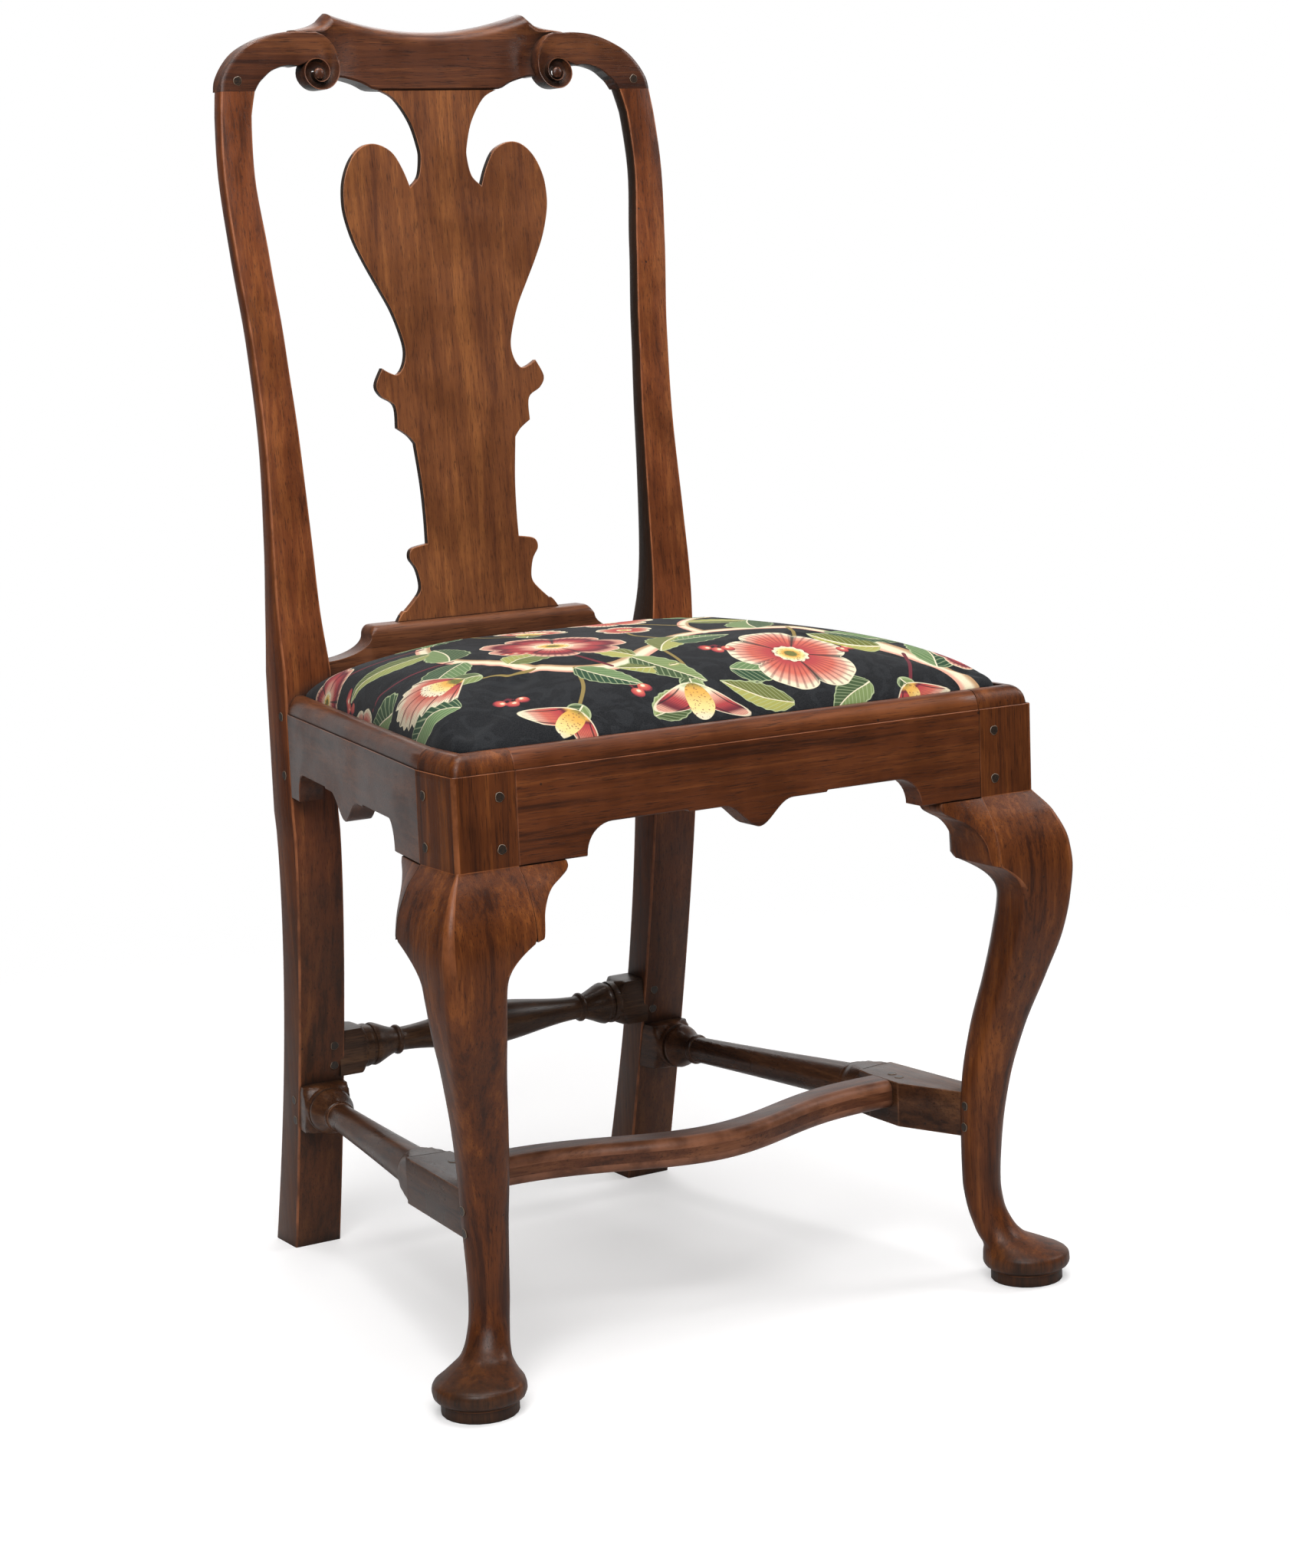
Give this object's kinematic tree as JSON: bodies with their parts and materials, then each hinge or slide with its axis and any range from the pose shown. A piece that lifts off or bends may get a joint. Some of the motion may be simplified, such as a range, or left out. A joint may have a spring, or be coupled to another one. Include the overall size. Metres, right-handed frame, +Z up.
{
  "type": "side chair",
  "caption": "Joined walnut side chair with cabriole front legs, turned stretchers, a vase-shaped splat under a scrolled crest and an upholstered drop-in seat.",
  "frame": {"origin": "on the floor, at the centre of the bounding box seen from above", "axes": "+Z up from the floor, -Y the way a sitter faces, +X to the right of someone looking at the front of the chair"},
  "size_m": [0.5534, 0.5106, 1.0003],
  "materials": {
    "walnut": "old reddish-brown walnut, waxed to a soft gloss, arrises worn lighter",
    "splat_walnut": "golden-brown walnut with upright ribbon figure, waxed",
    "dark_walnut": "walnut darkened with age, satin",
    "peg": "dark end grain, slightly proud",
    "seat_frame_wood": "bare softwood, planed",
    "webbing": "woven jute webbing",
    "sackcloth": "coarse plain-woven hessian",
    "stuffing": "curled hair, matte",
    "printed_cloth": "closely woven cloth, black ground printed with flowers and leaves"
  },
  "bodies": {
    "frame": {"left_rear_stile": "walnut", "left_seat_rail": "walnut", "left_front_leg": "walnut", "left_front_bracket": "walnut", "left_side_bracket": "walnut", "right_rear_stile": "walnut", "right_seat_rail": "walnut", "right_front_leg": "walnut", "right_front_bracket": "walnut", "right_side_bracket": "walnut", "crest_rail": "walnut", "shoe": "walnut", "rear_seat_rail": "walnut", "front_seat_rail": "walnut", "splat": "splat_walnut", "left_side_stretcher": "dark_walnut", "right_side_stretcher": "dark_walnut", "rear_stretcher": "dark_walnut", "front_stretcher": "dark_walnut", "peg_front_rail_left_lower": "peg", "peg_front_rail_left_upper": "peg", "peg_front_rail_right_lower": "peg", "peg_front_rail_right_upper": "peg", "peg_side_rail_left_lower": "peg", "peg_side_rail_left_upper": "peg", "peg_side_rail_right_lower": "peg", "peg_side_rail_right_upper": "peg", "peg_stile_left_lower": "peg", "peg_stile_left_upper": "peg", "peg_stile_right_lower": "peg", "peg_stile_right_upper": "peg", "peg_rear_stretcher_left_lower": "peg", "peg_rear_stretcher_left_upper": "peg", "peg_rear_stretcher_right_lower": "peg", "peg_rear_stretcher_right_upper": "peg", "peg_side_stretcher_left_lower": "peg", "peg_side_stretcher_left_upper": "peg", "peg_side_stretcher_right_lower": "peg", "peg_side_stretcher_right_upper": "peg", "peg_leg_left_lower": "peg", "peg_leg_left_upper": "peg", "peg_leg_right_lower": "peg", "peg_leg_right_upper": "peg", "peg_crest_left": "peg", "peg_crest_right": "peg", "peg_front_stretcher_left_front": "peg", "peg_front_stretcher_left_rear": "peg", "peg_front_stretcher_right_front": "peg", "peg_front_stretcher_right_rear": "peg"},
    "slip_seat": {"seat_frame_front": "seat_frame_wood", "seat_frame_rear": "seat_frame_wood", "seat_frame_left": "seat_frame_wood", "seat_frame_right": "seat_frame_wood", "seat_webbing": "webbing", "seat_sackcloth": "sackcloth", "seat_stuffing": "stuffing", "seat_cover": "printed_cloth"}
  },
  "joints": [
    {"name": "seat_lift", "type": "slide", "parent": "frame", "child": "slip_seat", "axis": [0, 0, 1], "range_m": [0, 0.12]}
  ]
}
